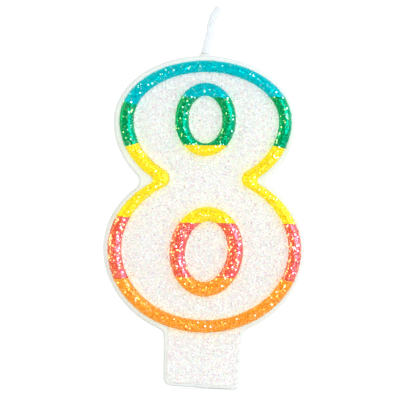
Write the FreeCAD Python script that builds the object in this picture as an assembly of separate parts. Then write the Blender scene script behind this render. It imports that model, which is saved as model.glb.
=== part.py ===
"""A numeral birthday candle: a flat white wax figure 8 on a wax stem, outlined in coloured wax.

Units are millimetres. The origin is the centre of the stem's foot, +Z runs up the candle, +X is
to the right seen from the front, and the decorated front faces -Y. Each physical piece is one
closed solid, written to parts/NODE.step.
"""

import FreeCAD
import Part
import math
import os
from collections import namedtuple

Vector = FreeCAD.Vector
DOWN = Vector(0, 0, -1)
TOUCHING = 1e-5             # places closer together than this are taken as the same

# A lobe is two half ellipses that share one width: rise above the centre, drop below it.
Lobe = namedtuple("Lobe", "centre_x centre_z half_width rise drop")
Oval = namedtuple("Oval", "centre_x centre_z half_width half_height lean")

# ---- wax casting -------------------------------------------------------------------------
BODY_THICKNESS = 9.0
FRONT_Y = -BODY_THICKNESS / 2
BACK_Y = BODY_THICKNESS / 2
DRAFT_INSET = 0.35          # the front outline is this much smaller, so that the mould releases
FRONT_EDGE_RADIUS = 0.5
BACK_EDGE_RADIUS = 0.25
BODY_UPPER = Lobe(0.0, 64.3, 22.1, 16.1, 19.5)
BODY_LOWER = Lobe(0.15, 33.6, 24.45, 20.0, 21.85)
BODY_WAIST_RADIUS = 2.0
STEM_WIDTH = 18.8           # at the foot
STEM_FLARE = 0.9            # the stem's right side leans outwards by this much up to STEM_TOP_Z
STEM_TOP_Z = 18.0           # hidden inside the lower lobe
FOOT_SLANT = 2.8            # degrees: the foot is trimmed slightly lower on the right
FOOT_TRIM = 3.0             # length of stem trimmed off the casting
SEAM_CLEARANCE = 5.0        # the search for inward corners keeps this far from a lobe's widest point
STEM_CORNER_RADIUS = 1.6
STEM_SHOULDER_RADIUS = 2.2

# ---- coloured wax outlines ---------------------------------------------------------------
BEAD_HEIGHT = 1.15          # above the front face
BEAD_SEAT_DEPTH = 0.4       # each bead is keyed into a groove of this depth
BEAD_SHOULDER_RADIUS = 1.1
OUTLINE_OUTER_UPPER = Lobe(0.15, 64.5, 20.85, 14.6, 17.5)
OUTLINE_OUTER_LOWER = Lobe(0.15, 33.4, 23.4, 19.3, 20.1)
OUTLINE_INNER_UPPER = Lobe(0.3, 64.5, 17.5, 11.65, 14.5)
OUTLINE_INNER_LOWER = Lobe(0.3, 33.4, 20.15, 17.2, 17.0)
OUTLINE_OUTER_WAIST_RADIUS = 0.9
OUTLINE_INNER_WAIST_RADIUS = 2.4
UPPER_RING_OUTER = Oval(0.1, 64.8, 7.4, 8.95, 0.0)
UPPER_RING_INNER = Oval(0.1, 64.8, 4.05, 5.65, 0.0)
LOWER_RING_OUTER = Oval(0.6, 32.9, 8.9, 10.9, 5.0)
LOWER_RING_INNER = Oval(0.6, 32.9, 5.05, 7.3, 8.0)

# Where one colour gives way to the next: height and slope on the outline's left, the same on
# its right, and the height on a ring. The heights are taken CHANGE_X from the centre line.
Change = namedtuple("Change", "left_z left_slope right_z right_slope ring_z")
AQUA_TO_GREEN = Change(69.3, -0.3, 70.4, 0.0, 70.2)
GREEN_TO_YELLOW = Change(57.7, 0.28, 57.8, -0.22, 58.6)
YELLOW_TO_RED = Change(41.2, -0.08, 39.8, 0.0, 39.8)
RED_TO_ORANGE = Change(26.1, 0.1, 26.0, -0.1, 26.7)
ABOVE_ALL = Change(120.0, 0.0, 120.0, 0.0, 120.0)
BELOW_ALL = Change(-40.0, 0.0, -40.0, 0.0, -40.0)
CHANGE_X = 20.5
CUT_REACH = 40.0            # half the size of the region that is divided between the colours

# ---- glitter coat ------------------------------------------------------------------------
GLITTER_THICKNESS = 0.12
GLITTER_GAP = 0.05          # bare line between the coat and a bead
GLITTER_STEM_MARGIN = 1.0   # bare wax along the stem's edges

# ---- wick --------------------------------------------------------------------------------
WICK_BOTTOM_Z = 18.0
WICK_HOLE_SPARE = 0.3       # the blind hole goes this much deeper than the wick
CORD_RADIUS = 0.6           # twisted cotton cord
SHEATH_ROOT_RADIUS = 0.98   # the wax round the cord, inside the casting and where it leaves it
SHEATH_TIP_RADIUS = 0.77
WICK_STATIONS = 9           # round sections that shape the free end
COLLAR_BASE_RADIUS = 1.4    # wax drawn up around the wick as the casting set
COLLAR_HEIGHT = 1.0
COLLAR_SUNK = 0.6
# The free end leans to the right and hooks over at its tip: x and height above the root.
WICK_LEAN = ((0.9, 4.5), (2.0, 9.7), (3.2, 11.6))
WICK_ROOT_PULL = 5.0        # how far the curve holds the straight part's direction
WICK_TIP_PULL = 1.3         # the same at the tip, as a share of the last stretch


# ---- outlines ----------------------------------------------------------------------------
def half_ellipse(centre_x, centre_z, half_width, reach, y, from_right):
    """Edge from one side to the other through the point reach above the centre."""
    centre = Vector(centre_x, y, centre_z)
    side = half_width if from_right else -half_width
    ellipse = Part.Ellipse(centre + Vector(side, 0, 0), centre + Vector(0, 0, reach), centre)
    return Part.ArcOfEllipse(ellipse, 0, math.pi).toShape()


def lobe_prism(lobe, near_y, far_y):
    """A lobe extruded from near_y to far_y."""
    top = half_ellipse(lobe.centre_x, lobe.centre_z, lobe.half_width, lobe.rise, near_y, True)
    bottom = half_ellipse(lobe.centre_x, lobe.centre_z, lobe.half_width, -lobe.drop, near_y, False)
    face = Part.Face(Part.Wire([top, bottom]))
    return face.extrude(Vector(0, far_y - near_y, 0))


def oval_prism(oval, near_y, far_y):
    """A tall ellipse extruded from near_y to far_y. Its top leans to the right by oval.lean degrees."""
    lean = math.radians(oval.lean)
    centre = Vector(oval.centre_x, near_y, oval.centre_z)
    top = centre + Vector(math.sin(lean), 0, math.cos(lean)) * oval.half_height
    side = centre + Vector(math.cos(lean), 0, -math.sin(lean)) * oval.half_width
    edge = Part.Ellipse(top, side, centre).toShape()
    return Part.Face(Part.Wire([edge])).extrude(Vector(0, far_y - near_y, 0))


def edges_along_y(shape, low_z, high_z):
    """Straight edges parallel to Y whose height lies between low_z and high_z."""
    found = []
    for edge in shape.Edges:
        start, end = edge.Vertexes[0].Point, edge.Vertexes[-1].Point
        level = abs(start.x - end.x) < TOUCHING and abs(start.z - end.z) < TOUCHING
        if level and low_z < start.z < high_z:
            found.append(edge)
    return found


def eight_prism(upper, lower, waist_radius, near_y, far_y):
    """Two lobes joined, with the two inward corners at the waist rounded."""
    shape = lobe_prism(upper, near_y, far_y).fuse(lobe_prism(lower, near_y, far_y))
    shape = shape.removeSplitter()
    waist = edges_along_y(shape, lower.centre_z + SEAM_CLEARANCE,
                          upper.centre_z - SEAM_CLEARANCE)
    return shape.makeFillet(waist_radius, waist)


def inset(lobe, amount):
    """The lobe with its outline moved inwards."""
    return Lobe(lobe.centre_x, lobe.centre_z, lobe.half_width - amount, lobe.rise - amount,
                lobe.drop - amount)


def grown(oval, amount):
    """The oval with its outline moved outwards."""
    return oval._replace(half_width=oval.half_width + amount,
                         half_height=oval.half_height + amount)


def slanted_prism(width, foot_z, top_z, near_y, far_y, flare=0.0):
    """A block about the centre line whose lower end has the foot's slant.

    Its right side is flare further out at the top."""
    drop = width / 2 * math.tan(math.radians(FOOT_SLANT))
    corners = ((-width / 2, foot_z + drop), (width / 2, foot_z - drop),
               (width / 2 + flare, top_z), (-width / 2, top_z))
    points = [Vector(x, near_y, z) for x, z in corners]
    return Part.Face(Part.makePolygon(points + points[:1])).extrude(Vector(0, far_y - near_y, 0))


def body_prism(amount, near_y, far_y):
    """The outline moved inwards by amount and extruded, with a stem that is too long."""
    shape = eight_prism(inset(BODY_UPPER, amount), inset(BODY_LOWER, amount),
                        BODY_WAIST_RADIUS + amount, near_y, far_y)
    stem = slanted_prism(STEM_WIDTH - 2 * amount, -FOOT_TRIM, STEM_TOP_Z, near_y, far_y,
                         STEM_FLARE)
    shape = shape.fuse(stem).removeSplitter()
    shoulders = edges_along_y(shape, 0.0, BODY_LOWER.centre_z - SEAM_CLEARANCE)
    return shape.makeFillet(STEM_SHOULDER_RADIUS + amount, shoulders)


def lies_at(shape, y):
    """Whether a face or an edge lies on the plane at y."""
    return abs(shape.BoundBox.YMin - y) + abs(shape.BoundBox.YMax - y) < TOUCHING


def face_at(shape, y):
    """The flat face of a prism that lies on the plane at y."""
    return next(f for f in shape.Faces if lies_at(f, y))


def edges_at(shape, y):
    """The edges that lie on the plane at y."""
    return [e for e in shape.Edges if lies_at(e, y)]


# ---- beads -------------------------------------------------------------------------------
def outline_band(near_y, far_y, grow=0.0):
    """The strip between the outline's outer and inner edges, as a plain extrusion."""
    outer = eight_prism(inset(OUTLINE_OUTER_UPPER, -grow), inset(OUTLINE_OUTER_LOWER, -grow),
                        OUTLINE_OUTER_WAIST_RADIUS, near_y, far_y)
    inner = eight_prism(inset(OUTLINE_INNER_UPPER, grow), inset(OUTLINE_INNER_LOWER, grow),
                        OUTLINE_INNER_WAIST_RADIUS, near_y, far_y)
    return outer.cut(inner)


def ring_band(outer, inner, near_y, far_y):
    """The strip between two ovals, as a plain extrusion."""
    return oval_prism(outer, near_y, far_y).cut(oval_prism(inner, near_y, far_y))


def rounded_bead(band, crown_y):
    """A band with its two crown edges rounded over."""
    return band.makeFillet(BEAD_SHOULDER_RADIUS, edges_at(band, crown_y))


def side_region(upper, lower, side):
    """Everything between two colour changes on one side of the candle: side -1 left, 1 right."""
    def line(change):
        height = change.left_z if side < 0 else change.right_z
        slope = change.left_slope if side < 0 else change.right_slope
        return [(x, height + slope * (x - side * CHANGE_X)) for x in (0.0, side * CUT_REACH)]
    corners = line(upper) + line(lower)[::-1]
    points = [Vector(x, -CUT_REACH, z) for x, z in corners]
    face = Part.Face(Part.makePolygon(points + points[:1]))
    return face.extrude(Vector(0, 2 * CUT_REACH, 0))


def ring_region(upper, lower, side=0):
    """Everything between two level colour changes, on both sides or on one."""
    low_x = 0.0 if side > 0 else -CUT_REACH
    high_x = 0.0 if side < 0 else CUT_REACH
    height = upper.ring_z - lower.ring_z
    corner = Vector(low_x, -CUT_REACH, lower.ring_z)
    return Part.makeBox(high_x - low_x, 2 * CUT_REACH, height, corner)


def outline_beads():
    """The eight coloured lengths of the outline, by node name."""
    crown_y = FRONT_Y - BEAD_HEIGHT
    bead = rounded_bead(outline_band(crown_y, FRONT_Y + BEAD_SEAT_DEPTH), crown_y)
    pieces = {}
    top = [side_region(ABOVE_ALL, AQUA_TO_GREEN, side) for side in (-1, 1)]
    pieces["aqua_outline_top"] = bead.common(top[0].fuse(top[1]))
    bottom = [side_region(RED_TO_ORANGE, BELOW_ALL, side) for side in (-1, 1)]
    pieces["orange_outline_bottom"] = bead.common(bottom[0].fuse(bottom[1]))
    bands = (("green", AQUA_TO_GREEN, GREEN_TO_YELLOW),
             ("yellow", GREEN_TO_YELLOW, YELLOW_TO_RED),
             ("red", YELLOW_TO_RED, RED_TO_ORANGE))
    for colour, upper, lower in bands:
        for side, word in ((-1, "left"), (1, "right")):
            pieces[colour + "_outline_" + word] = bead.common(side_region(upper, lower, side))
    return pieces


def ring_beads(outer, inner, where, end_colour, middle_colour, cap_colour, upper, lower):
    """The four coloured lengths of a ring: a cap at the top, two sides and a cap at the foot."""
    crown_y = FRONT_Y - BEAD_HEIGHT
    bead = rounded_bead(ring_band(outer, inner, crown_y, FRONT_Y + BEAD_SEAT_DEPTH), crown_y)
    sides = bead.common(ring_region(upper, lower))
    centre = Part.makeBox(CUT_REACH, 2 * CUT_REACH, 4 * CUT_REACH,
                          Vector(outer.centre_x - CUT_REACH, -CUT_REACH, -CUT_REACH))
    return {
        end_colour + "_" + where + "_ring_top": bead.common(ring_region(ABOVE_ALL, upper)),
        middle_colour + "_" + where + "_ring_left": sides.common(centre),
        middle_colour + "_" + where + "_ring_right": sides.cut(centre),
        cap_colour + "_" + where + "_ring_foot": bead.common(ring_region(lower, BELOW_ALL)),
    }


# ---- glitter coat ------------------------------------------------------------------------
def glitter_coats():
    """Thin lacquer layers that carry the glitter on the flat white areas, by node name."""
    near_y = FRONT_Y - GLITTER_THICKNESS
    field = eight_prism(inset(OUTLINE_INNER_UPPER, GLITTER_GAP),
                        inset(OUTLINE_INNER_LOWER, GLITTER_GAP),
                        OUTLINE_INNER_WAIST_RADIUS, near_y, FRONT_Y)
    for ring in (UPPER_RING_OUTER, LOWER_RING_OUTER):
        field = field.cut(oval_prism(grown(ring, GLITTER_GAP), near_y, FRONT_Y))
    stem = slanted_prism(STEM_WIDTH - 2 * GLITTER_STEM_MARGIN, GLITTER_STEM_MARGIN, STEM_TOP_Z,
                         near_y, FRONT_Y, STEM_FLARE)
    stem = stem.makeFillet(STEM_CORNER_RADIUS, edges_along_y(stem, 0.0, STEM_TOP_Z / 2))
    lower = eight_prism(inset(OUTLINE_OUTER_UPPER, -GLITTER_GAP),
                        inset(OUTLINE_OUTER_LOWER, -GLITTER_GAP),
                        OUTLINE_OUTER_WAIST_RADIUS, near_y, FRONT_Y)
    return {
        "glitter_coat_face": field,
        "glitter_coat_upper_eye": oval_prism(grown(UPPER_RING_INNER, -GLITTER_GAP), near_y, FRONT_Y),
        "glitter_coat_lower_eye": oval_prism(grown(LOWER_RING_INNER, -GLITTER_GAP), near_y, FRONT_Y),
        "glitter_coat_stem": stem.cut(lower),
    }


# ---- wick --------------------------------------------------------------------------------
def wick_centre_line():
    """The wick's centre line: straight up through the casting, then the leaning free end."""
    root_z = BODY_UPPER.centre_z + BODY_UPPER.rise
    straight = Part.LineSegment(Vector(0, 0, WICK_BOTTOM_Z), Vector(0, 0, root_z)).toShape()
    free = Part.BSplineCurve()
    points = [Vector(0, 0, root_z)] + [Vector(x, 0, root_z + h) for x, h in WICK_LEAN]
    lean, tip = points[-2], points[-1]
    free.interpolate(Points=points, InitialTangent=Vector(0, 0, WICK_ROOT_PULL),
                     FinalTangent=(tip - lean) * WICK_TIP_PULL)
    return straight, free.toShape()


def tapered_rod(edge, start_radius, end_radius):
    """A round solid along one edge, tapering from one radius to the other."""
    sections = []
    for i in range(WICK_STATIONS):
        share = i / (WICK_STATIONS - 1)
        parameter = edge.getParameterByLength(edge.Length * share)
        radius = start_radius + (end_radius - start_radius) * share
        circle = Part.Circle(edge.valueAt(parameter), edge.tangentAt(parameter), radius)
        sections.append(Part.Wire([circle.toShape()]))
    return Part.makeLoft(sections, True, False)


def wick_cord(straight, free):
    """The cotton cord, from the bottom of its hole to the tip."""
    stalk = Part.makeCylinder(CORD_RADIUS, straight.Length, straight.Vertexes[0].Point)
    return stalk.fuse(tapered_rod(free, CORD_RADIUS, CORD_RADIUS)).removeSplitter()


def wick_sheath(straight, free):
    """The wax that primes the wick: a tube round the cord, thinner towards the tip."""
    foot = straight.Vertexes[0].Point
    outer = tapered_rod(free, SHEATH_ROOT_RADIUS, SHEATH_TIP_RADIUS)
    tip = outer.cut(tapered_rod(free, CORD_RADIUS, CORD_RADIUS))
    stalk = Part.makeCylinder(SHEATH_ROOT_RADIUS, straight.Length, foot)
    stalk = stalk.cut(Part.makeCylinder(CORD_RADIUS, straight.Length, foot))
    return stalk.fuse(tip).removeSplitter()


# ---- wax casting -------------------------------------------------------------------------
def drafted_casting():
    """The casting before its grooves and wick hole: tapered sides, trimmed foot, eased edges."""
    back = face_at(body_prism(0.0, FRONT_Y, BACK_Y), BACK_Y).OuterWire
    front = face_at(body_prism(DRAFT_INSET, FRONT_Y, BACK_Y), FRONT_Y).OuterWire
    body = Part.makeLoft([back, front], True, True)
    whole = slanted_prism(2 * CUT_REACH, 0.0, 3 * CUT_REACH, -CUT_REACH, CUT_REACH)
    body = body.common(whole)
    foot_corners = [e for e in body.Edges
                    if e.BoundBox.YLength > BODY_THICKNESS / 2 and e.BoundBox.ZMax < STEM_TOP_Z / 2]
    body = body.makeFillet(STEM_CORNER_RADIUS, foot_corners)
    body = body.makeFillet(FRONT_EDGE_RADIUS, edges_at(body, FRONT_Y))
    return body.makeFillet(BACK_EDGE_RADIUS, edges_at(body, BACK_Y))


def wax_body(straight, free):
    """The white casting, with grooves for the beads and a blind hole for the wick."""
    body = drafted_casting()
    root = straight.Vertexes[-1].Point
    body = body.fuse(wick_collar(root))
    floor_y = FRONT_Y + BEAD_SEAT_DEPTH
    above_y = FRONT_Y - BEAD_HEIGHT
    body = body.cut(outline_band(above_y, floor_y))
    body = body.cut(ring_band(UPPER_RING_OUTER, UPPER_RING_INNER, above_y, floor_y))
    body = body.cut(ring_band(LOWER_RING_OUTER, LOWER_RING_INNER, above_y, floor_y))
    hole = Part.makeCylinder(SHEATH_ROOT_RADIUS, straight.Length + WICK_HOLE_SPARE, root, DOWN)
    return body.cut(hole).cut(tapered_rod(free, SHEATH_ROOT_RADIUS, SHEATH_TIP_RADIUS))


def wick_collar(root):
    """The small cone of wax round the wick's root."""
    slope = (COLLAR_BASE_RADIUS - SHEATH_ROOT_RADIUS) / COLLAR_HEIGHT
    return Part.makeCone(COLLAR_BASE_RADIUS + slope * COLLAR_SUNK, SHEATH_ROOT_RADIUS,
                         COLLAR_HEIGHT + COLLAR_SUNK, root - Vector(0, 0, COLLAR_SUNK))


def build():
    """Every piece of the candle, by node name."""
    straight, free = wick_centre_line()
    pieces = {
        "wax_body": wax_body(straight, free),
        "wick_wax_sheath": wick_sheath(straight, free),
        "wick_cotton_cord": wick_cord(straight, free),
    }
    pieces.update(outline_beads())
    pieces.update(ring_beads(UPPER_RING_OUTER, UPPER_RING_INNER, "upper",
                             "aqua", "green", "yellow", AQUA_TO_GREEN, GREEN_TO_YELLOW))
    pieces.update(ring_beads(LOWER_RING_OUTER, LOWER_RING_INNER, "lower",
                             "yellow", "red", "orange", YELLOW_TO_RED, RED_TO_ORANGE))
    pieces.update(glitter_coats())
    return pieces


os.makedirs("parts", exist_ok=True)
for node, shape in build().items():
    solid = shape.Solids[0]
    print(node, len(shape.Solids), solid.isValid(), round(solid.Volume, 3))
    solid.exportStep(os.path.join("parts", node + ".step"))
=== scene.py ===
"""Looks of the number birthday candle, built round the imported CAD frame.

The wax pieces are remeshed copies of the CAD solids with the small unevenness of poured wax.
Glitter is separate hexagonal flakes over a grainy lacquer. Lengths are metres.
"""

import math
from collections import namedtuple

import bmesh
import bpy
import numpy as np
from mathutils import Matrix, Vector, noise
from mathutils.bvhtree import BVHTree
from mathutils.kdtree import KDTree


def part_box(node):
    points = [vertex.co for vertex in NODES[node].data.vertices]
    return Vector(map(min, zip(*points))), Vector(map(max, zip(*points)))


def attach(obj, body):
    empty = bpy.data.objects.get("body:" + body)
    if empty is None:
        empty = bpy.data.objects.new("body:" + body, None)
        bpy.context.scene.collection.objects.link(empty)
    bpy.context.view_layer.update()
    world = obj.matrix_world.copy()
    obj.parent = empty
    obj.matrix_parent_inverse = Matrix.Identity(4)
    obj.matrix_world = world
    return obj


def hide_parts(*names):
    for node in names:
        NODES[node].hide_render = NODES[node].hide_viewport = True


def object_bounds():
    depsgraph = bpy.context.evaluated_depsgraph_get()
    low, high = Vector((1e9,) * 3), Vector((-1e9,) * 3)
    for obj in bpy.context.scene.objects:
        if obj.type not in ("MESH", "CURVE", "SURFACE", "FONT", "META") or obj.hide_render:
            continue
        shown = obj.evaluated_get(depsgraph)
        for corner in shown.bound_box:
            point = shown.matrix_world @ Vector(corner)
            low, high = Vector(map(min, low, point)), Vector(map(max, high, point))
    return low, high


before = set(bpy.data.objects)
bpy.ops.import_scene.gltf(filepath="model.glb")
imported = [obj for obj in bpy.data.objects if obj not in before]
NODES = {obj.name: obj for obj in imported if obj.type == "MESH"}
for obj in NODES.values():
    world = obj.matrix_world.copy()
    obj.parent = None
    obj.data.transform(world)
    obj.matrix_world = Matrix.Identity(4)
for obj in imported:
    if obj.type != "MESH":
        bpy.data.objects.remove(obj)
cad_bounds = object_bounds()

MM = 0.001
FRONT_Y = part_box("glitter_coat_face")[1].y      # the casting's flat front
BODY_LOW, BODY_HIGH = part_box("wax_body")
BEAD_HEIGHT = FRONT_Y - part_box("aqua_outline_top")[0].y
rng = np.random.default_rng(8)

WELD_DISTANCE = 1e-7            # vertices this near are one
CUT_TOLERANCE = 1e-8
FRONT_FACING = 0.3              # a face counts as front where its normal leans forwards this much

# A remesh builds a solid again in even quads of the voxel's size and relaxes it that many rounds.
# Waves are pairs of wavelength and height that make a surface uneven.
# Wax creeps up beside a bead: the height at the bead, and the distance over which it falls off.
Remesh = namedtuple("Remesh", "voxel rounds")
Creep = namedtuple("Creep", "height reach")

# ---- sizes: white casting ----------------------------------------------------------------
CASTING_REMESH = Remesh(0.32 * MM, 3)
CASTING_WAVES = ((7.0 * MM, 0.05 * MM), (1.6 * MM, 0.015 * MM))
CASTING_CREEP = Creep(0.28 * MM, 0.3 * MM)
BACK_DIP = 0.12 * MM            # depth of the dip in the back
BACK_FADE = 0.3 * MM            # the dip fades out over this depth,
BACK_FADE_END = 0.4 * MM        # and is gone this far in front of the back
TINTED_DEPTH = 1.5 * MM         # depth of the beads' painted bounce light in the casting's side
GROOVE_DEPTH = 0.45 * MM        # the grooves' edges, which the remesh rounds, lie above this depth
GROOVE_REACH = 0.50 * MM        # and are made flat again within this distance of a bead,
GROOVE_FADE = 0.25 * MM         # coming in over this width
FLAT_BAND = 0.12 * MM           # what lies this close to the front counts as the flat front

# ---- sizes: beads ------------------------------------------------------------------------
BEAD_HALF_WIDTH = 1.67 * MM
BEAD_SHOULDER = 1.1 * MM        # radius of the CAD bead's rounded edges
BEAD_WALL_BAND = 0.3 * MM       # a bead's walls are looked for this close to the front,
BEAD_WALL_LEAN = 0.35           # where the normal leans forwards or back less than this
BEAD_REMESH = Remesh(0.16 * MM, 4)
BEAD_WAVES = ((2.4 * MM, 0.06 * MM), (0.7 * MM, 0.045 * MM))
LEAST_DOME = 0.75               # the dome lowers no point below this share of its height
DOME_ROUNDS = 4
SEAM_WAVELENGTH = 0.9 * MM      # a seam between two colours wanders
SEAM_SHIFT = 0.14 * MM
TOUCHING = 0.01 * MM            # two nodes meet where they are closer than this

# ---- sizes: lacquer ----------------------------------------------------------------------
COAT_REMESH = Remesh(0.21 * MM, 2)
COAT_WAVES = ((7.0 * MM, 0.05 * MM), (0.45 * MM, 0.03 * MM))
COAT_CREEP = Creep(0.34 * MM, 0.32 * MM)
COAT_TUCK = 0.35 * MM           # how far a coat reaches under the beads
COAT_EXTRA_DEPTH = 0.3 * MM     # its underside is sunk into the casting by this much:
COAT_UNDERSIDE = 0.05 * MM      # all that is not this far in front of the flat front
# Painted light on the white beside the beads: their bounced colour and a brightening at their edge.
TINT_REACH = 16 * MM            # beads further away throw no painted bounce light
TINT_NEAR = 0.7 * MM            # light that leaks through a bead's edge falls off over this
TINT_FAR = 5.0 * MM             # and light thrown by the bead over this
TINT_FAR_SHARE = 0.55

# ---- sizes: flakes -----------------------------------------------------------------------
FLAKE_HALF_THICKNESS = 0.012 * MM
FLAKE_LIFT = 0.04 * MM          # a flake's centre above the surface
PEARL_DENSITY = 2.4             # fine flakes on the lacquer to each square millimetre
PEARL_RADII = (0.09 * MM, 0.15 * MM)
PEARL_TILT = 0.20
SPARK_SMALLEST = 0.12 * MM
SPARK_TILT = 0.26
SPARK_FACING = 0.15             # sparkle also lies on slopes that lean forwards this little
GLINT_SHARE = 0.65              # a spark's shine: the rest is its wax's own sheen
# Glint tints of sparks that lean left and right: a painted reflection colour set by side.
WARM_GLINT = (1.0, 1.0, 0.45)
COOL_GLINT = (0.96, 0.96, 1.0)
SPILL_DENSITY = 7.0             # at a bead's edge
SPILL_REACH = 0.4 * MM          # spilt flakes thin out over this distance
SPILL_LIMIT = 2.0 * MM          # and there are none beyond this
SPILL_RADII = (0.06 * MM, 0.11 * MM)
SPILL_FLASHING = 0.5

# Sparkle on each colour: flakes to each square millimetre, the share that faces a lamp where the
# wax does, and the largest radius.
Sparkle = namedtuple("Sparkle", "density flashing largest")
SPARKLE = {
    "aqua": Sparkle(0.9, 0.90, 0.27 * MM),
    "green": Sparkle(1.4, 0.80, 0.26 * MM),
    "yellow": Sparkle(1.6, 0.80, 0.26 * MM),
    "red": Sparkle(2.8, 1.0, 0.31 * MM),
    "orange": Sparkle(2.1, 0.75, 0.28 * MM),
}

# ---- sizes: wick -------------------------------------------------------------------------
PLIES = 3
PLY_PITCH = 6.5 * MM            # height of one turn of the twist
PLY_MEAN = 0.64                 # mean height of a ply's round back, as a share of the relief
WICK_SWELL = 0.04 * MM          # added all round
CORD_REACH = 0.9 * MM           # the cord's middle at a height is taken from points this near
CORD_LEVELS = 60
SHEATH_REMESH = Remesh(0.11 * MM, 3)
SHEATH_RELIEF = 0.05 * MM
SHEATH_WAVES = ((0.9 * MM, 0.04 * MM), (3.0 * MM, 0.08 * MM))
CORD_REMESH = Remesh(0.09 * MM, 1)
CORD_RELIEF = 0.06 * MM
CORD_WAVES = ((0.2 * MM, 0.02 * MM),)

# ---- nodes and colours -------------------------------------------------------------------
# Each loop of bead as two chains of nodes from top to bottom: left side, right side.
CHAINS = {
    "outline": (
        ("aqua_outline_top", "green_outline_left", "yellow_outline_left", "red_outline_left",
         "orange_outline_bottom"),
        ("aqua_outline_top", "green_outline_right", "yellow_outline_right", "red_outline_right",
         "orange_outline_bottom")),
    "upper_ring": (
        ("aqua_upper_ring_top", "green_upper_ring_left", "yellow_upper_ring_foot"),
        ("aqua_upper_ring_top", "green_upper_ring_right", "yellow_upper_ring_foot")),
    "lower_ring": (
        ("yellow_lower_ring_top", "red_lower_ring_left", "orange_lower_ring_foot"),
        ("yellow_lower_ring_top", "red_lower_ring_right", "orange_lower_ring_foot")),
}
COATS = ("glitter_coat_face", "glitter_coat_upper_eye", "glitter_coat_lower_eye",
         "glitter_coat_stem")

# Wax pigments: the main colour, a darker and a lighter fleck of it, the paler colour of its foot,
# painted light where the wax is thin and the crevice shaded, the colour of the painted bounce light
# that it throws on white wax beside it, and the tint of its sheen on slopes that face left and on
# slopes that face right, a painted reflection colour set by side.
Pigment = namedtuple("Pigment", "main dark light edge glow warm cool")
PIGMENTS = {
    "aqua": Pigment((0.0, 0.38, 0.45), (0.0, 0.27, 0.36), (0.0, 0.48, 0.52), (0.02, 0.60, 0.64),
                    (0.84, 0.91, 0.92), (0.0, 0.90, 0.75), (0.0, 0.85, 0.90)),
    "green": Pigment((0.0, 0.20, 0.045), (0.0, 0.11, 0.02), (0.0, 0.34, 0.11), (0.02, 0.56, 0.26),
                     (0.82, 0.93, 0.86), (0.02, 0.90, 0.30), (0.0, 0.85, 0.72)),
    "yellow": Pigment((0.95, 0.68, 0.01), (0.93, 0.49, 0.0), (0.97, 0.77, 0.02),
                      (0.97, 0.86, 0.08), (0.98, 0.96, 0.78), (1.0, 0.95, 0.05),
                      (1.0, 0.95, 0.12)),
    "red": Pigment((0.80, 0.050, 0.020), (0.60, 0.022, 0.012), (0.90, 0.12, 0.05),
                   (0.95, 0.26, 0.17), (0.98, 0.88, 0.83), (0.90, 0.60, 0.30),
                   (0.95, 0.55, 1.0)),
    "orange": Pigment((0.95, 0.235, 0.003), (0.85, 0.13, 0.002), (1.0, 0.36, 0.012),
                      (0.97, 0.44, 0.09), (0.99, 0.92, 0.80), (1.0, 0.85, 0.25),
                      (1.0, 0.78, 0.35)),
}


# ---- mesh tools --------------------------------------------------------------------------
def welded(nodes):
    """A bmesh of the CAD nodes with the split vertices joined again."""
    bm = bmesh.new()
    for name in nodes:
        bm.from_mesh(NODES[name].data)
    bmesh.ops.remove_doubles(bm, verts=bm.verts, dist=WELD_DISTANCE)
    return bm


def to_mesh(bm, name):
    mesh = bpy.data.meshes.new(name)
    bm.to_mesh(mesh)
    bm.free()
    return mesh


def remeshed(mesh, size):
    """The mesh rebuilt in even quads, then relaxed. The mesh that came in is removed."""
    carrier = bpy.data.objects.new("carrier", mesh)
    bpy.context.scene.collection.objects.link(carrier)
    remesh = carrier.modifiers.new("remesh", "REMESH")
    remesh.mode = "VOXEL"
    remesh.voxel_size = size.voxel
    graph = bpy.context.evaluated_depsgraph_get()
    result = bpy.data.meshes.new_from_object(carrier.evaluated_get(graph))
    bpy.data.objects.remove(carrier)
    bpy.data.meshes.remove(mesh)
    relax(result, size.rounds)
    return result


def relax(mesh, rounds):
    """Moves every vertex halfway to the average of its neighbours, as many times as rounds."""
    edges = np.empty(len(mesh.edges) * 2, np.int32)
    mesh.edges.foreach_get("vertices", edges)
    edges = edges.reshape(-1, 2)
    start, end = np.concatenate((edges, edges[:, ::-1])).T
    co = coordinates(mesh)
    neighbours = np.maximum(np.bincount(start, minlength=len(co)), 1)
    for _ in range(rounds):
        total = [np.bincount(start, co[end, axis], len(co)) for axis in range(3)]
        co = (co + np.array(total).T / neighbours[:, None]) / 2
    set_coordinates(mesh, co)


def coordinates(mesh):
    co = np.empty(len(mesh.vertices) * 3, np.float32)
    mesh.vertices.foreach_get("co", co)
    return co.reshape(-1, 3).astype(float)


def vertex_normals(mesh):
    normals = np.empty(len(mesh.vertices) * 3, np.float32)
    mesh.vertex_normals.foreach_get("vector", normals)
    return normals.reshape(-1, 3).astype(float)


def set_coordinates(mesh, co):
    mesh.vertices.foreach_set("co", co.astype(np.float32).ravel())
    mesh.update()


def ripple(co, wavelength, seed):
    """Smooth noise between about -1 and 1 at each point, other noise for each seed."""
    shift = Vector((seed * 7.13, seed * 3.71, seed * 5.37))
    return np.array([noise.noise(Vector(p) / wavelength + shift) for p in co])


def uneven(mesh, waves):
    """Moves the surface in and out by the waves."""
    co = coordinates(mesh)
    lift = sum(height * ripple(co, wavelength, i + 1)
               for i, (wavelength, height) in enumerate(waves))
    set_coordinates(mesh, co + vertex_normals(mesh) * lift[:, None])


def gaps(tree, co, reach):
    """The distance from each point to the surface in the tree, at most reach."""
    return np.array([tree.find_nearest(Vector(p), reach)[3] or reach for p in co])


def crept(gap, creep):
    """How high the wax has crept at each gap from a bead."""
    return creep.height * np.exp(-gap / creep.reach)


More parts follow.
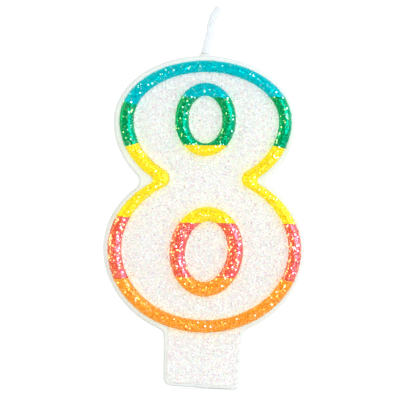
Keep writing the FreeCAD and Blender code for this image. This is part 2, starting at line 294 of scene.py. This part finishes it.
def show(name, mesh, materials, slot, *nodes):
    """Adds a finished piece that rides on the candle and stands for the CAD nodes."""
    piece = bpy.data.objects.new(name, mesh)
    bpy.context.scene.collection.objects.link(piece)
    mesh.materials.clear()
    for material in materials:
        mesh.materials.append(material)
    mesh.shade_smooth()
    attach(piece, "root")
    if nodes:
        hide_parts(*nodes)
    return piece


# ---- node trees --------------------------------------------------------------------------
class Graph:
    """A node tree, with short ways to add nodes to it. A value is a socket, colour or number."""

    def __init__(self, tree):
        self.tree = tree

    def feed(self, socket, value):
        """Gives an input its value."""
        if isinstance(value, bpy.types.NodeSocket):
            self.tree.links.new(value, socket)
        elif socket.type == "RGBA":
            socket.default_value = (*value, 1.0)
        else:
            socket.default_value = value

    def set(self, node, **values):
        """Gives inputs their values by name, with _ for a space."""
        for name, value in values.items():
            self.feed(node.inputs[name.replace("_", " ")], value)

    def add(self, kind, options=None, **values):
        node = self.tree.nodes.new("ShaderNode" + kind)
        for key, value in (options or {}).items():
            setattr(node, key, value)
        self.set(node, **values)
        return node

    def math(self, operation, *values):
        node = self.add("Math", {"operation": operation})
        for socket, value in zip(node.inputs, values):
            self.feed(socket, value)
        return node.outputs[0]

    def mix(self, share, first, second, blend="MIX"):
        """A colour between first and second."""
        node = self.add("Mix", {"data_type": "RGBA", "blend_type": blend})
        factor = [socket for socket in node.inputs if socket.name == "Factor"][:1]
        colours = [socket for socket in node.inputs if socket.type == "RGBA"]
        for socket, value in zip(factor + colours, (share, first, second)):
            self.feed(socket, value)
        return [socket for socket in node.outputs if socket.type == "RGBA"][0]

    def vector(self, operation, first, second):
        node = self.add("VectorMath", {"operation": operation})
        self.feed(node.inputs[0], first)
        self.feed(node.inputs["Scale" if operation == "SCALE" else 1], second)
        return node.outputs[0]

    def axis(self, vector, index):
        """One coordinate of a vector."""
        return self.add("SeparateXYZ", Vector=vector).outputs[index]

    def ramp(self, value, low, high):
        """0 up to low, 1 from high on, and straight between them."""
        return self.add("MapRange", Value=value, From_Min=low, From_Max=high).outputs[0]


class Shader(Graph):
    """A new node material with its Principled node."""

    def __init__(self, name, **values):
        self.material = bpy.data.materials.new(name)
        self.material.use_nodes = True
        super().__init__(self.material.node_tree)
        self.surface = self.tree.nodes["Principled BSDF"]
        self.set(self.surface, **values)

    def place(self):
        return self.add("TexCoord").outputs["Object"]

    def normal(self):
        return self.add("NewGeometry").outputs["Normal"]

    def noise(self, wavelength, detail=2.0):
        node = self.add("TexNoise", Vector=self.place(), Scale=1 / wavelength, Detail=detail)
        return node.outputs[0]

    def cells(self, size):
        """A random colour for each cell of about this size."""
        return self.add("TexVoronoi", Vector=self.place(), Scale=1 / size).outputs["Color"]

    def parts(self, colour):
        return self.add("SeparateColor", Color=colour).outputs

    def bumps(self, height, distance, strength):
        return self.add("Bump", Height=height, Distance=distance, Strength=strength).outputs[0]

    def tinted(self, colour):
        """The colour multiplied by the tint stored at the mesh's points: painted bounce light."""
        tint = self.add("VertexColor", {"layer_name": "tint"}).outputs[0]
        return self.mix(1.0, colour, tint, "MULTIPLY")

    def tilted(self, random, amount):
        """The surface normal leaned over by a random colour, as a flake lies."""
        centred = self.vector("SUBTRACT", random, (0.5, 0.5, 0.5))
        total = self.vector("ADD", self.normal(), self.vector("SCALE", centred, amount))
        unit = self.add("VectorMath", {"operation": "NORMALIZE"})
        self.feed(unit.inputs[0], total)
        return unit.outputs[0]


# ---- materials ---------------------------------------------------------------------------
def white_wax():
    """Plain paraffin: faint clouds, a soft gloss and light that soaks in."""
    s = Shader("white_wax", IOR=1.44, Subsurface_Weight=0.3,
               Subsurface_Radius=(1.0, 0.95, 0.85), Subsurface_Scale=1.2 * MM)
    cloud = s.noise(5.0 * MM, detail=3.0)
    white = s.mix(cloud, (0.75, 0.775, 0.76), (0.82, 0.84, 0.83))
    # The tint is the beads' painted bounce light.
    s.set(s.surface, Base_Color=s.tinted(white),
          Roughness=s.math("ADD", s.math("MULTIPLY", cloud, 0.12), 0.28),
          Normal=s.bumps(s.noise(0.6 * MM), 0.03 * MM, 0.4))
    return s.material


def bead_wax(name):
    """Coloured wax crowded with fine glitter: dark and light flecks that each lie their own way."""
    pigment = PIGMENTS[name]
    s = Shader(name + "_wax", IOR=2.2, Subsurface_Weight=0.12, Subsurface_Radius=pigment.main,
               Subsurface_Scale=0.6 * MM)
    fleck = s.cells(0.26 * MM)
    shade, gloss, _ = s.parts(fleck)
    is_light = s.math("GREATER_THAN", shade, 0.66)
    is_dark = s.math("LESS_THAN", shade, 0.28)
    is_foil = s.math("GREATER_THAN", gloss, 0.72)
    base = s.mix(s.math("MULTIPLY", is_light, 0.7), pigment.main, pigment.light)
    base = s.mix(s.math("MULTIPLY", is_dark, 0.6), base, pigment.dark)
    base = s.mix(s.math("MULTIPLY", s.noise(1.6 * MM), 0.3), base, pigment.light)
    # Painted light: towards its foot the wax turns to its paler foot colour, against the shade
    # there.
    painted_foot_share = s.ramp(s.axis(s.place(), 1), FRONT_Y - 0.80 * MM, FRONT_Y - 0.30 * MM)
    base = s.mix(s.math("MULTIPLY", painted_foot_share, 0.85), base, pigment.edge)
    # Painted reflection colour: the sheen is tinted by whether the slope faces left or right.
    to_right = s.ramp(s.axis(s.normal(), 0), -0.35, 0.35)
    s.set(s.surface, Base_Color=base, Metallic=s.math("MULTIPLY", is_foil, 0.5),
          Specular_Tint=s.mix(to_right, pigment.warm, pigment.cool),
          Roughness=s.math("SUBTRACT", 0.20, s.math("MULTIPLY", is_foil, 0.05)),
          Normal=s.tilted(fleck, s.math("ADD", s.math("MULTIPLY", is_foil, 0.35), 0.10)))
    return s.material


def lacquer():
    """The grainy coat on the white areas: mostly white, with faint pearly flecks."""
    s = Shader("glitter_lacquer", IOR=1.5, Subsurface_Weight=0.2,
               Subsurface_Radius=(1.0, 0.95, 0.9), Subsurface_Scale=0.8 * MM)
    fleck = s.cells(0.24 * MM)
    _, hue, gloss = s.parts(fleck)
    pearls = s.add("ValToRGB", Fac=hue)
    pearls.color_ramp.interpolation = "CONSTANT"
    stops = ((0.0, (0.80, 0.80, 0.79)), (0.50, (0.80, 0.68, 0.76)), (0.60, (0.70, 0.80, 0.79)),
             (0.70, (0.82, 0.80, 0.70)), (0.80, (0.74, 0.70, 0.80)), (0.88, (0.86, 0.86, 0.86)))
    elements = pearls.color_ramp.elements
    while len(elements) < len(stops):
        elements.new(0.5)
    for element, (position, colour) in zip(elements, stops):
        element.position = position
        element.color = (*colour, 1.0)
    is_foil = s.math("GREATER_THAN", gloss, 0.66)
    # The tint is the beads' painted bounce light.
    s.set(s.surface, Base_Color=s.tinted(pearls.outputs[0]),
          Metallic=s.math("MULTIPLY", is_foil, 0.15),
          Roughness=s.math("SUBTRACT", 0.45, s.math("MULTIPLY", is_foil, 0.15)),
          Normal=s.tilted(fleck, s.math("ADD", s.math("MULTIPLY", is_foil, 0.22), 0.08)))
    return s.material


def pearl_flake(name, colour):
    """Pearly film, only partly metallic."""
    return Shader(name, Base_Color=colour, Metallic=0.3, Roughness=0.3).material


def spark_flake(name, colour, glint):
    """A clear glossy flake: the wax's own colour until it catches a lamp."""
    return Shader(name, Base_Color=colour, IOR=3.1, Specular_Tint=glint,
                  Roughness=0.10).material


def wick_wax():
    """White priming wax, faintly clouded."""
    s = Shader("wick_wax", IOR=1.44, Roughness=0.38, Subsurface_Weight=0.3,
               Subsurface_Radius=(1.0, 1.0, 1.0), Subsurface_Scale=0.7 * MM)
    cloud = s.noise(0.9 * MM, detail=3.0)
    s.set(s.surface, Base_Color=s.mix(cloud, (0.66, 0.69, 0.74), (0.75, 0.78, 0.82)))
    return s.material


def wick_cotton():
    """Bleached cotton with fine fibres."""
    s = Shader("wick_cotton", Roughness=0.9, Sheen_Weight=0.3)
    fibre = s.noise(0.12 * MM, detail=4.0)
    s.set(s.surface, Base_Color=s.mix(fibre, (0.66, 0.64, 0.58), (0.88, 0.87, 0.82)),
          Normal=s.bumps(fibre, 0.04 * MM, 0.6))
    return s.material


def flake_materials():
    """Every flake's material, by name. Sparks are a blend of their wax's sheen and a plain glint."""
    made = {
        "silver": Shader("flake_silver", Base_Color=(0.90, 0.74, 0.82), Metallic=0.6,
                         Roughness=0.2).material,
        "white": pearl_flake("flake_white", (0.82, 0.83, 0.82)),
        "pink": pearl_flake("flake_pink", (0.84, 0.51, 0.64)),
        "lilac": pearl_flake("flake_lilac", (0.70, 0.58, 0.80)),
        "mint": pearl_flake("flake_mint", (0.62, 0.82, 0.78)),
        "cream": pearl_flake("flake_cream", (0.86, 0.82, 0.62)),
        "grey": pearl_flake("flake_grey", (0.55, 0.50, 0.60)),
    }
    # Warm and cool copies differ only in the glint's tint, a painted reflection colour set by side.
    for name, pigment in PIGMENTS.items():
        for side, sheen, glint in (("_warm", pigment.warm, WARM_GLINT),
                                   ("_cool", pigment.cool, COOL_GLINT)):
            tint = tuple((1 - GLINT_SHARE) * a + GLINT_SHARE * b for a, b in zip(sheen, glint))
            made[name + side] = spark_flake("flake_" + name + side, pigment.light, tint)
    return made


# ---- white casting -----------------------------------------------------------------------
def casting(trees):
    """The white wax, slightly wavy, with the shallow dip that forms as an open mould cools."""
    mesh = remeshed(to_mesh(welded(["wax_body"]), "casting"), CASTING_REMESH)
    uneven(mesh, CASTING_WAVES)
    co = coordinates(mesh)
    dip_back(co)
    near_front = np.nonzero(co[:, 1] < FRONT_Y + TINTED_DEPTH)[0]
    # Painted bounce light of the beads on the front and the side near it.
    tint, gap = painted_bounce(co[near_front], trees, share=0.45, lightening=1.0)
    co[near_front, 1] = flattened(co[near_front, 1], gap)
    set_coordinates(mesh, co)
    everywhere = np.ones((len(co), 3))
    everywhere[near_front] = tint
    paint(mesh, everywhere)
    show("wax_casting", mesh, [white_wax()], "white_wax", "wax_body")


def dip_back(co):
    """Sinks the middle of the back."""
    middle = (BODY_LOW + BODY_HIGH) / 2
    across = (co[:, 0] - middle.x) / (BODY_HIGH.x - BODY_LOW.x) * 2
    along = (co[:, 2] - middle.z) / (BODY_HIGH.z - BODY_LOW.z) * 2
    back = np.clip((co[:, 1] - (BODY_HIGH.y - BACK_FADE_END)) / BACK_FADE, 0, 1)
    dip = np.clip(1 - across ** 2 - along ** 4, 0, 1)
    co[:, 1] -= back * dip * BACK_DIP


def flattened(y, gap):
    """Heights near the front with the grooves' edges made flat again, and the wax crept up."""
    depth = y - FRONT_Y
    beside = np.clip((GROOVE_REACH - gap) / GROOVE_FADE, 0, 1) * (depth < GROOVE_DEPTH)
    flat = np.abs(depth) < FLAT_BAND
    return y - beside * depth - np.maximum(flat, beside) * crept(gap, CASTING_CREEP)


# ---- beads -------------------------------------------------------------------------------
def shared_line(upper, lower):
    """Where two neighbouring nodes meet: a point on the seam and its normal, pointing up."""
    solid = welded([upper])
    tree = BVHTree.FromBMesh(solid)
    solid.free()
    touching = [v.co for v in NODES[lower].data.vertices
                if tree.find_nearest(v.co, TOUCHING)[0] is not None]
    flat = np.array(touching)[:, (0, 2)]
    point = flat.mean(0)
    along = np.linalg.svd(flat - point)[2][0]
    normal = Vector((-along[1], 0, along[0]))
    if normal.z < 0:
        normal = -normal
    return Vector((point[0], 0, point[1])), normal


def dome(mesh):
    """Rounds the flat crown of a bead, so that its height follows a half ellipse across it."""
    co = coordinates(mesh)
    upright = np.abs(vertex_normals(mesh)[:, 1]) < BEAD_WALL_LEAN
    wall = np.nonzero(upright & (np.abs(co[:, 1] - FRONT_Y) < BEAD_WALL_BAND))[0]
    tree = KDTree(len(wall))
    for index in wall:
        tree.insert((co[index, 0], 0, co[index, 2]), index)
    tree.balance()
    for index in np.nonzero(co[:, 1] < FRONT_Y)[0]:
        inwards = tree.find((co[index, 0], 0, co[index, 2]))[2]
        across = max(0.0, 1 - inwards / BEAD_HALF_WIDTH)
        ellipse = BEAD_HEIGHT * math.sqrt(1 - across ** 2)
        shoulder = min(inwards, BEAD_SHOULDER)
        cast = BEAD_HEIGHT - BEAD_SHOULDER + math.sqrt(shoulder * (2 * BEAD_SHOULDER - shoulder))
        co[index, 1] = FRONT_Y + (co[index, 1] - FRONT_Y) * max(LEAST_DOME, ellipse / cast)
    set_coordinates(mesh, co)
    relax(mesh, DOME_ROUNDS)


def wander(co):
    """A small sideways shift that makes a straight seam wander, as poured colours meet."""
    shift = np.zeros_like(co)
    shift[:, 0] = ripple(co, SEAM_WAVELENGTH, 11) * SEAM_SHIFT
    shift[:, 2] = ripple(co, SEAM_WAVELENGTH, 12) * SEAM_SHIFT
    return shift


def cut_seams(bm, seams, middle_x):
    """Cuts the loop along the seams of its left side, then of its right side."""
    for side, lines in zip((-1, 1), seams):
        for point, normal in lines:
            faces = [f for f in bm.faces if (f.calc_center_median().x - middle_x) * side > 0]
            parts = set(faces)
            for f in faces:
                parts.update(f.edges)
                parts.update(f.verts)
            bmesh.ops.bisect_plane(bm, geom=list(parts), plane_co=point, plane_no=normal,
                                   dist=CUT_TOLERANCE)


def bead_loop(chains):
    """One closed loop of bead, rebuilt as a whole and then parted at the seams."""
    names = sorted(set(chains[0] + chains[1]))
    mesh = remeshed(to_mesh(welded(names), "bead"), BEAD_REMESH)
    dome(mesh)
    uneven(mesh, BEAD_WAVES)
    co = coordinates(mesh)
    set_coordinates(mesh, co + wander(co))
    bm = bmesh.new()
    bm.from_mesh(mesh)
    bpy.data.meshes.remove(mesh)
    low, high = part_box(chains[0][0])
    middle_x = (low.x + high.x) / 2
    seams = [[shared_line(a, b) for a, b in zip(chain, chain[1:])] for chain in chains]
    cut_seams(bm, seams, middle_x)
    owners = {name: [] for name in names}
    for face in bm.faces:
        centre = face.calc_center_median()
        side = 0 if centre.x < middle_x else 1
        rank = sum((centre - point).dot(normal) < 0 for point, normal in seams[side])
        owners[chains[side][rank]].append(face)
    return {name: cut_out(faces, name) for name, faces in owners.items()}


def cut_out(faces, name):
    """A closed mesh of these faces, with the seam's wander undone."""
    part = bmesh.new()
    made = {}
    for face in faces:
        corners = []
        for vertex in face.verts:
            if vertex.index not in made:
                made[vertex.index] = part.verts.new(vertex.co)
            corners.append(made[vertex.index])
        part.faces.new(corners)
    edges = [e for e in part.edges if e.is_boundary]
    bmesh.ops.holes_fill(part, edges=edges, sides=0)
    bmesh.ops.triangulate(part, faces=[f for f in part.faces if len(f.verts) > 4])
    bmesh.ops.recalc_face_normals(part, faces=part.faces)
    mesh = to_mesh(part, name)
    co = coordinates(mesh)
    set_coordinates(mesh, co - wander(co))
    return mesh


def beads():
    """All coloured beads, by node name."""
    waxes = {colour: bead_wax(colour) for colour in PIGMENTS}
    made = {}
    for chains in CHAINS.values():
        made.update(bead_loop(chains))
    pieces = {}
    for name, mesh in made.items():
        colour = name.split("_")[0]
        pieces[name] = show("bead_" + name, mesh, [waxes[colour]], colour + "_wax", name)
    return pieces


# ---- lacquer -----------------------------------------------------------------------------
def bead_trees(bead_pieces):
    """One search tree for all the beads of each colour."""
    trees = {}
    for colour in PIGMENTS:
        bm = bmesh.new()
        for name, piece in bead_pieces.items():
            if name.startswith(colour):
                bm.from_mesh(piece.data)
        trees[colour] = BVHTree.FromBMesh(bm)
        bm.free()
    return trees


def painted_bounce(co, trees, share, lightening):
    """Painted bounce light that the nearby beads throw on each point, as a tint, and the gap to the
    nearest bead.

    share scales the tint. Right beside a bead the white turns to its bounce tint times lightening,
    which above 1 paints a brightening against the shade beside the bead."""
    tint = np.ones((len(co), 3))
    nearest = np.full(len(co), TINT_REACH)
    for colour, tree in trees.items():
        gap = gaps(tree, co, TINT_REACH)
        near = np.exp(-gap / TINT_NEAR)[:, None]
        far = np.exp(-gap / TINT_FAR)[:, None]
        glow = np.array(PIGMENTS[colour].glow)
        tint *= 1 - far * TINT_FAR_SHARE * share * (1 - glow)
        tint *= 1 - near * share * (1 - lightening * glow ** 2)
        nearest = np.minimum(nearest, gap)
    return tint, nearest


def paint(mesh, tint):
    """Stores the tint, painted bounce light of the beads, at the mesh's points."""
    colours = np.ones((len(tint), 4), np.float32)
    colours[:, :3] = tint
    layer = mesh.color_attributes.new("tint", "FLOAT_COLOR", "POINT")
    layer.data.foreach_set("color", colours.ravel())


def thickened_coat(name):
    """A CAD coat grown sideways under the beads and backwards into the casting."""
    bm = welded([name])
    bm.normal_update()
    for vertex in bm.verts:
        vertex.co.x += vertex.normal.x * COAT_TUCK
        vertex.co.z += vertex.normal.z * COAT_TUCK
        if vertex.co.y > FRONT_Y - COAT_UNDERSIDE:
            vertex.co.y += COAT_EXTRA_DEPTH
    return to_mesh(bm, name)


def coats(trees):
    """The grainy lacquer on each white area. It reaches under the beads and creeps up them."""
    material = lacquer()
    made = []
    for name in COATS:
        mesh = remeshed(thickened_coat(name), COAT_REMESH)
        uneven(mesh, COAT_WAVES)
        co = coordinates(mesh)
        # Painted bounce light of the beads, brightened right beside them.
        tint, gap = painted_bounce(co, trees, share=1.0, lightening=1.25)
        co[:, 1] -= (co[:, 1] < FRONT_Y) * crept(gap, COAT_CREEP)
        set_coordinates(mesh, co)
        paint(mesh, tint)
        made.append(show("lacquer_" + name[len("glitter_coat_"):], mesh, [material],
                         "glitter_lacquer", name))
    return made


# ---- flakes ------------------------------------------------------------------------------
# Halfway between the camera and each softbox: a flake that faces this way flashes.
FLASH_LEFT = Vector((-0.51, -0.85, 0.10)).normalized()
FLASH_RIGHT = Vector((0.26, -0.96, 0.05)).normalized()
LEFT_CHANCE = 0.55              # less the x of its normal: the chance that a flake flashes left
FLASH_FALL = 16                 # how quickly flashing falls off as the wax turns from the lamp
FLASH_SPREAD = 0.07
# Sparks that lean further left or right than this are warm or cool with this chance.
WARM_X, WARM_CHANCE = -0.25, 0.9
COOL_X, COOL_CHANCE = 0.15, 0.6


def surface_points(mesh, count, least_facing):
    """Random points on the faces that look forwards, with the normals there."""
    mesh.calc_loop_triangles()
    corners = np.array([t.vertices[:] for t in mesh.loop_triangles])
    co = coordinates(mesh)
    a, b, c = co[corners[:, 0]], co[corners[:, 1]], co[corners[:, 2]]
    cross = np.cross(b - a, c - a)
    area = np.linalg.norm(cross, axis=1)
    normal = cross / np.maximum(area, 1e-20)[:, None]
    weight = np.where((-normal[:, 1] > least_facing) & (a[:, 1] < FRONT_Y), area, 0)
    pick = rng.choice(len(corners), count, p=weight / weight.sum())
    u, v = rng.random(count), rng.random(count)
    over = u + v > 1
    u[over], v[over] = 1 - u[over], 1 - v[over]
    points = a[pick] + (b - a)[pick] * u[:, None] + (c - a)[pick] * v[:, None]
    return points, normal[pick]


def spread(pieces, density, least_facing):
    """Spots all over the pieces, density of them to each square millimetre of front."""
    spots = []
    for piece in pieces:
        front = sum(p.area for p in piece.data.polygons
                    if p.normal.y < -FRONT_FACING and p.center.y < FRONT_Y)
        spots.append(surface_points(piece.data, int(front / MM ** 2 * density), least_facing))
    return [np.concatenate(part) for part in zip(*spots)]


def spilt(pieces, tree):
    """Spots on the lacquer close beside the beads in the tree, where their glitter spilt over."""
    points, normals = spread(pieces, SPILL_DENSITY, FRONT_FACING)
    gap = gaps(tree, points, SPILL_LIMIT)
    kept = rng.random(len(gap)) < np.exp(-gap / SPILL_REACH)
    return points[kept], normals[kept]


class Palette:
    """Picks a flake colour by chance. Flakes turned to the left may be warm, to the right cool."""

    def __init__(self, shares, warm=None, cool=None):
        self.names = tuple(shares)
        self.shares = np.array(list(shares.values()), float)
        self.shares /= self.shares.sum()
        self.warm, self.cool = warm, cool

    def pick(self, lean):
        if self.warm and lean[0] < WARM_X and rng.random() < WARM_CHANCE:
            return self.names.index(self.warm)
        if self.cool and lean[0] > COOL_X and rng.random() < COOL_CHANCE:
            return self.names.index(self.cool)
        return int(rng.choice(len(self.names), p=self.shares))


def leaned(normal, tilt, flashing):
    """The way a flake faces: roughly as the wax does, or straight into a lamp's glint."""
    lean = normal + rng.normal(0, tilt, 3)
    flash = np.array(FLASH_LEFT if rng.random() < LEFT_CHANCE - normal[0] else FLASH_RIGHT)
    if rng.random() < flashing * max(0.0, normal @ flash) ** FLASH_FALL:
        lean = flash + rng.normal(0, FLASH_SPREAD, 3)
    return lean / np.linalg.norm(lean)


def hexagon(centre, lean, radii):
    """The twelve corners of a flake: six of its face, then the same six of its underside."""
    side = np.cross(lean, (0, 0, 1.0))
    side /= np.linalg.norm(side)
    up = np.cross(side, lean)
    radius = rng.uniform(*radii)
    turn = np.arange(6) * math.pi / 3 + rng.uniform(0, math.pi / 3)
    rim = radius * (np.cos(turn)[:, None] * side + np.sin(turn)[:, None] * up)
    half = lean * FLAKE_HALF_THICKNESS
    return np.concatenate((centre + rim + half, centre + rim - half))


def hexagon_faces(start):
    """The eight faces of the flake whose corners begin at start."""
    top = [start + i for i in range(6)]
    base = [start + 6 + i for i in range(6)]
    sides = [[top[i], base[i], base[(i + 1) % 6], top[(i + 1) % 6]] for i in range(6)]
    return [top, base[::-1]] + sides


def scatter(name, slot, spots, radii, tilt, flashing, palette):
    """Closed hexagonal flakes at the spots. flashing is the share that faces a softbox."""
    verts, faces, slots = [], [], []
    for point, normal in zip(*spots):
        lean = leaned(normal, tilt, flashing)
        new_faces = hexagon_faces(len(verts))
        verts.extend(hexagon(point + normal * FLAKE_LIFT, lean, radii))
        faces.extend(new_faces)
        slots.extend([palette.pick(lean)] * len(new_faces))
    mesh = bpy.data.meshes.new(name)
    mesh.from_pydata([tuple(v) for v in verts], [], faces)
    show(name, mesh, [FLAKES[p] for p in palette.names], slot)
    mesh.polygons.foreach_set("material_index", slots)
    mesh.shade_flat()


def glitter(bead_pieces, coat_pieces, trees):
    """Fine pearl flakes on the lacquer, sparks on the coloured wax and their spill beside it."""
    pearl = Palette({"white": 0.26, "pink": 0.31, "cream": 0.11, "lilac": 0.15, "mint": 0.12,
                     "grey": 0.02, "silver": 0.03})
    for piece in coat_pieces:
        scatter("flakes_" + piece.name[len("lacquer_"):], "glitter_lacquer",
                spread([piece], PEARL_DENSITY, FRONT_FACING), PEARL_RADII, PEARL_TILT, 0.0, pearl)
    for colour, sparkle in SPARKLE.items():
        warm, cool = colour + "_warm", colour + "_cool"
        spark = Palette({warm: 0.65, cool: 0.35}, warm, cool)
        group = [p for n, p in bead_pieces.items() if n.startswith(colour)]
        scatter("sparkle_" + colour, colour + "_wax",
                spread(group, sparkle.density, SPARK_FACING),
                (SPARK_SMALLEST, sparkle.largest), SPARK_TILT, sparkle.flashing, spark)
        scatter("spill_" + colour, colour + "_wax", spilt(coat_pieces, trees[colour]),
                SPILL_RADII, SPARK_TILT, SPILL_FLASHING, spark)


# ---- wick --------------------------------------------------------------------------------
def twist_angle(co):
    """Angle round the cord's centre line, measured from the CAD cord."""
    cord = coordinates(NODES["wick_cotton_cord"].data)
    known = []
    for z in np.linspace(cord[:, 2].min(), cord[:, 2].max(), CORD_LEVELS):
        ring_x = cord[np.abs(cord[:, 2] - z) < CORD_REACH, 0]
        if len(ring_x):
            known.append((z, (ring_x.min() + ring_x.max()) / 2))
    centre = np.interp(co[:, 2], *zip(*known))
    return np.arctan2(co[:, 1], co[:, 0] - centre)


def twisted(node, size, relief, waves):
    """A wick piece with the relief of the cord's twist."""
    mesh = remeshed(to_mesh(welded([node]), node), size)
    co = coordinates(mesh)
    phase = PLIES * (twist_angle(co) - 2 * math.pi * co[:, 2] / PLY_PITCH)
    lift = (np.abs(np.cos(phase / 2)) - PLY_MEAN) * relief + WICK_SWELL
    set_coordinates(mesh, co + vertex_normals(mesh) * lift[:, None])
    uneven(mesh, waves)
    return mesh


def wick():
    sheath = twisted("wick_wax_sheath", SHEATH_REMESH, SHEATH_RELIEF, SHEATH_WAVES)
    show("wick_wax", sheath, [wick_wax()], "wick_wax", "wick_wax_sheath")
    cord = twisted("wick_cotton_cord", CORD_REMESH, CORD_RELIEF, CORD_WAVES)
    show("wick_cord", cord, [wick_cotton()], "wick_cotton", "wick_cotton_cord")


# ---- studio ------------------------------------------------------------------------------
# The floor is a strip that runs under the candle and bends up into the backdrop.
FLOOR_HALF_WIDTH = 1.6
FLOOR_NEAR_Y = -2.2
FLOOR_FAR_Y = 0.9
BEND_RADIUS = 0.35
BEND_STEPS = 17
BACKDROP_TOP = 1.6


def studio_white():
    """White to the camera, with room for a soft shadow, and a mid grey to the candle."""
    s = Shader("studio_white", Roughness=0.9, Specular_IOR_Level=0.0, Base_Color=(0.7, 0.7, 0.7),
               Emission_Color=(1.0, 1.0, 1.0))
    seen = s.add("LightPath").outputs["Is Camera Ray"]
    s.set(s.surface, Emission_Strength=s.math("MULTIPLY_ADD", seen, 0.45, 0.15))
    return s.material


def sweep():
    """A floor that curves up into the backdrop."""
    floor_z = cad_bounds[0][2]
    profile = [(FLOOR_NEAR_Y, 0.0), (FLOOR_FAR_Y, 0.0)]
    profile += [(FLOOR_FAR_Y + BEND_RADIUS * math.sin(a), BEND_RADIUS * (1 - math.cos(a)))
                for a in np.linspace(0, math.pi / 2, BEND_STEPS)[1:]]
    profile.append((FLOOR_FAR_Y + BEND_RADIUS, BACKDROP_TOP))
    verts = [(x, y, floor_z + z) for y, z in profile
             for x in (-FLOOR_HALF_WIDTH, FLOOR_HALF_WIDTH)]
    faces = [(2 * i, 2 * i + 1, 2 * i + 3, 2 * i + 2) for i in range(len(profile) - 1)]
    mesh = bpy.data.meshes.new("studio_sweep")
    mesh.from_pydata(verts, [], faces)
    mesh.materials.append(studio_white())
    mesh.shade_smooth()
    stage = bpy.data.objects.new("studio_sweep", mesh)
    bpy.context.scene.collection.objects.link(stage)


def lamp(name, place, aim, size, power, colour):
    light = bpy.data.lights.new(name, "AREA")
    light.shape = "RECTANGLE"
    light.size, light.size_y = size
    light.energy = power
    light.color = colour
    holder = bpy.data.objects.new(name, light)
    holder.location = place
    holder.rotation_euler = (aim - Vector(place)).to_track_quat("-Z", "Y").to_euler()
    bpy.context.scene.collection.objects.link(holder)


def surroundings():
    """A pale room: brighter overhead and at the sides, most of all on the right."""
    world = bpy.data.worlds.new("studio")
    bpy.context.scene.world = world
    world.use_nodes = True
    room = Graph(world.node_tree)
    x, _, z = room.add("SeparateXYZ", Vector=room.add("TexCoord").outputs["Generated"]).outputs
    above = room.math("MULTIPLY", room.math("MAXIMUM", z, 0.0), 0.60)
    right_more = room.math("MULTIPLY_ADD", x, 0.58, 1.02)
    beside = room.math("MULTIPLY", room.math("MULTIPLY", x, x), right_more)
    to_right = room.math("MULTIPLY_ADD", x, 0.5, 0.5)
    room.set(room.tree.nodes["Background"],
             Color=room.mix(to_right, (1.0, 0.99, 0.93), (0.91, 0.97, 1.0)),
             Strength=room.math("ADD", room.math("ADD", above, beside), 0.265))


def studio():
    sweep()
    aim = (Vector(cad_bounds[0]) + Vector(cad_bounds[1])) / 2
    lamp("right_softbox", (0.45, -0.78, 0.12), aim,
         size=(0.50, 0.5), power=4.8, colour=(0.95, 0.97, 1.0))
    lamp("left_softbox", (-0.70, -0.38, 0.18), aim,
         size=(0.25, 0.5), power=1.8, colour=(1.0, 0.98, 0.87))
    surroundings()
    bpy.context.scene.view_settings.view_transform = "Standard"


# ---- camera ------------------------------------------------------------------------------
CAMERA_DISTANCE = 1.5
CAMERA_TURN = math.radians(-1.2)        # round the candle, to the left
CAMERA_LEAN = math.radians(0.6)         # round its own axis
SENSOR_WIDTH = 36.0
FRAME_HEIGHT = 1.0405                   # height of the picture's view, in candle heights
AIM_LEFT, AIM_BELOW = 0.0124, 0.007     # its centre off the candle's, in candle heights


def camera():
    """A long lens almost square to the front, a little from the left, with the candle leaning."""
    low, high = Vector(cad_bounds[0]), Vector(cad_bounds[1])
    height = high.z - low.z
    aim = Vector(((low.x + high.x) / 2 - AIM_LEFT * height, FRONT_Y,
                  (low.z + high.z) / 2 - AIM_BELOW * height))
    view = bpy.data.cameras.new("camera")
    view.sensor_width = SENSOR_WIDTH
    view.lens = SENSOR_WIDTH * CAMERA_DISTANCE / (height * FRAME_HEIGHT)
    view.clip_end = 20.0
    holder = bpy.data.objects.new("camera", view)
    away = Vector((math.sin(CAMERA_TURN), -math.cos(CAMERA_TURN), 0))
    holder.location = aim + CAMERA_DISTANCE * away
    look = (aim - holder.location).to_track_quat("-Z", "Y").to_matrix()
    holder.rotation_euler = (look @ Matrix.Rotation(CAMERA_LEAN, 3, "Z")).to_euler()
    bpy.context.scene.collection.objects.link(holder)
    bpy.context.scene.camera = holder


FLAKES = flake_materials()
bead_pieces = beads()
trees = bead_trees(bead_pieces)
casting(trees)
glitter(bead_pieces, coats(trees), trees)
wick()
studio()
camera()
